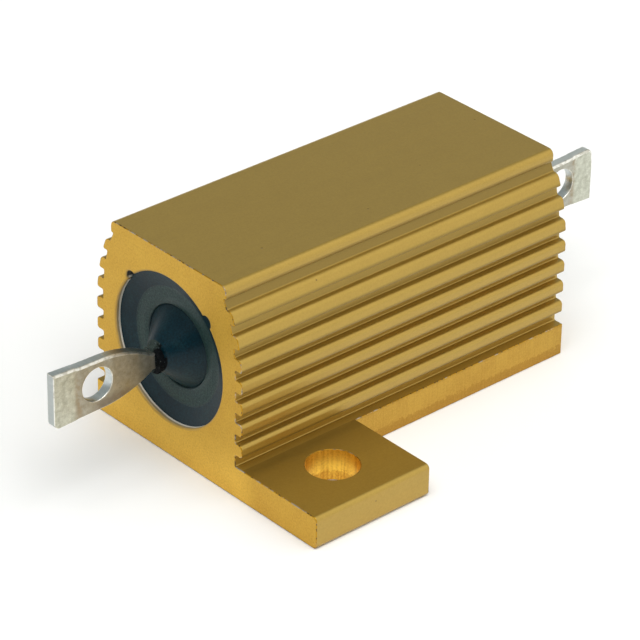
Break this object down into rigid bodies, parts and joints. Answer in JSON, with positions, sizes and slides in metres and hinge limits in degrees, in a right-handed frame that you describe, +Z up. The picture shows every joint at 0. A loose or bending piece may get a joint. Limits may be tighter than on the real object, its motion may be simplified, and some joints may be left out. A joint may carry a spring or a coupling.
{
  "type": "aluminium housed power resistor",
  "caption": "Wirewound power resistor moulded into a finned gold anodised aluminium housing with mounting tabs at opposite corners and flat eye terminals.",
  "frame": {"origin": "middle of the flat base, on the surface that the part is screwed to", "axes": "+X along the housing and the terminals, +Y across it, +Z up from the base"},
  "size_m": [0.045, 0.0274, 0.0142],
  "materials": {
    "gold_anodised_aluminium": "gold anodised over extrusion and milling marks, bare at the sharpest edges",
    "silicone_moulding": "dark blue-green moulding compound, semi-gloss",
    "ceramic": "unglazed ceramic",
    "resistance_alloy": "bright drawn wire",
    "plated_cap": "plated drawn steel",
    "tinned_terminal": "dull tinned, bright at the sheared edges"
  },
  "bodies": {
    "root": {"housing": "gold_anodised_aluminium", "moulding": "silicone_moulding", "ceramic_core": "ceramic", "resistance_winding": "resistance_alloy", "end_cap_near": "plated_cap", "end_cap_far": "plated_cap", "terminal_near": "tinned_terminal", "terminal_far": "tinned_terminal"}
  },
  "joints": []
}
